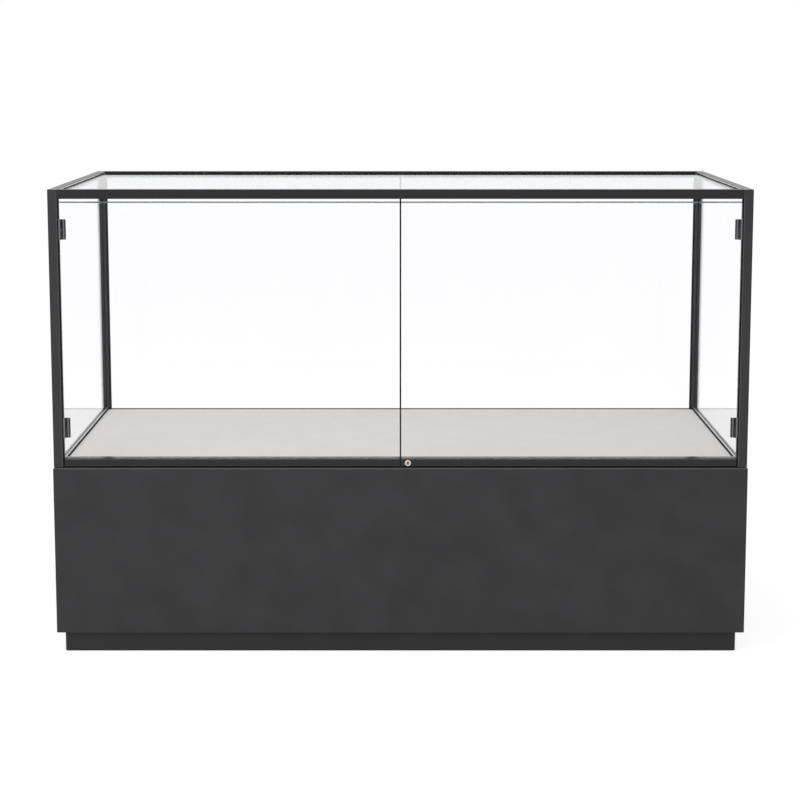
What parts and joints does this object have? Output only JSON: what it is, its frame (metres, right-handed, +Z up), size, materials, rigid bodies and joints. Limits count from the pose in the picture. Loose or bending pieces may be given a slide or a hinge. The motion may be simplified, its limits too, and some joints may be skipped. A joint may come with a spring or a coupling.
{
  "type": "museum display case",
  "caption": "Low glass display case with hinged glass front doors, a slim black frame, a pale deck and a plain charcoal base on a recessed plinth; shows exhibits under lock.",
  "frame": {"origin": "on the floor, under the centre of the case", "axes": "+X along the width to the viewer's right, +Y from the doors to the back, +Z up"},
  "size_m": [1.5, 0.75, 1.01],
  "materials": {
    "base_paint": "matt charcoal paint on smooth board",
    "plinth_paint": "matt dark grey paint on folded sheet steel",
    "frame_black": "satin charcoal powder coat",
    "hinge_black": "satin black coat on steel",
    "deck_cloth": "thin board covered in pale warm grey cloth",
    "inner_board": "raw fibreboard, out of sight",
    "clear_glass": "clear float glass with ground edges",
    "black_rubber": "matt black glazing rubber",
    "black_plastic": "matt black moulded plastic",
    "zinc_steel": "bright zinc-plated steel",
    "lock_nickel": "satin nickel"
  },
  "bodies": {
    "case": {"plinth_front": "plinth_paint", "plinth_back": "plinth_paint", "plinth_left": "plinth_paint", "plinth_right": "plinth_paint", "plinth_brackets": "zinc_steel", "plinth_screws": "zinc_steel", "base_front": "base_paint", "base_back": "base_paint", "base_left": "base_paint", "base_right": "base_paint", "base_bottom": "inner_board", "base_top": "inner_board", "base_partition": "inner_board", "deck_board": "deck_cloth", "left_front_post": "frame_black", "right_front_post": "frame_black", "left_back_post": "frame_black", "right_back_post": "frame_black", "front_top_rail": "frame_black", "back_top_rail": "frame_black", "left_top_rail": "frame_black", "right_top_rail": "frame_black", "left_floor_rail": "frame_black", "right_floor_rail": "frame_black", "back_floor_rail": "frame_black", "front_sill": "frame_black", "lock_keeper": "zinc_steel", "post_feet": "black_plastic", "post_anchors": "zinc_steel", "rail_keys": "zinc_steel", "hood_screws": "zinc_steel", "top_glass": "clear_glass", "left_glass": "clear_glass", "right_glass": "clear_glass", "back_glass_left": "clear_glass", "back_glass_right": "clear_glass", "back_joint_seal": "black_rubber", "glazing_channels": "black_rubber", "post_seals": "black_rubber", "hinge_post_leaves": "hinge_black", "hinge_pins": "zinc_steel", "hinge_screws": "zinc_steel"},
    "left_door": {"left_door_glass": "clear_glass", "left_door_rail": "frame_black", "left_door_channel": "black_rubber", "left_door_end_caps": "black_plastic", "left_hinge_leaves": "hinge_black", "left_meeting_seal": "black_rubber", "bolt_guide": "hinge_black"},
    "right_door": {"right_door_glass": "clear_glass", "right_door_rail": "frame_black", "right_door_channel": "black_rubber", "right_door_end_caps": "black_plastic", "right_hinge_leaves": "hinge_black", "right_meeting_seal": "black_rubber", "lock_body": "lock_nickel", "lock_nut": "zinc_steel"},
    "lock_plug": {"lock_cylinder": "lock_nickel", "lock_cam": "zinc_steel"},
    "door_bolt": {"left_bolt": "zinc_steel"}
  },
  "joints": [
    {"name": "left_door_swing", "type": "hinge", "parent": "case", "child": "left_door", "pos_m": [-0.7235, -0.369, 0.7], "axis": [0, 0, -1], "range_deg": [0, 105]},
    {"name": "right_door_swing", "type": "hinge", "parent": "case", "child": "right_door", "pos_m": [0.7235, -0.369, 0.7], "axis": [0, 0, 1], "range_deg": [0, 105]},
    {"name": "lock_turn", "type": "hinge", "parent": "right_door", "child": "lock_plug", "pos_m": [0.016, -0.36, 0.42075], "axis": [0, 1, 0], "range_deg": [0, 90]},
    {"name": "left_bolt_slide", "type": "slide", "parent": "left_door", "child": "door_bolt", "axis": [0, 0, -1], "range_m": [0, 0.007]}
  ]
}
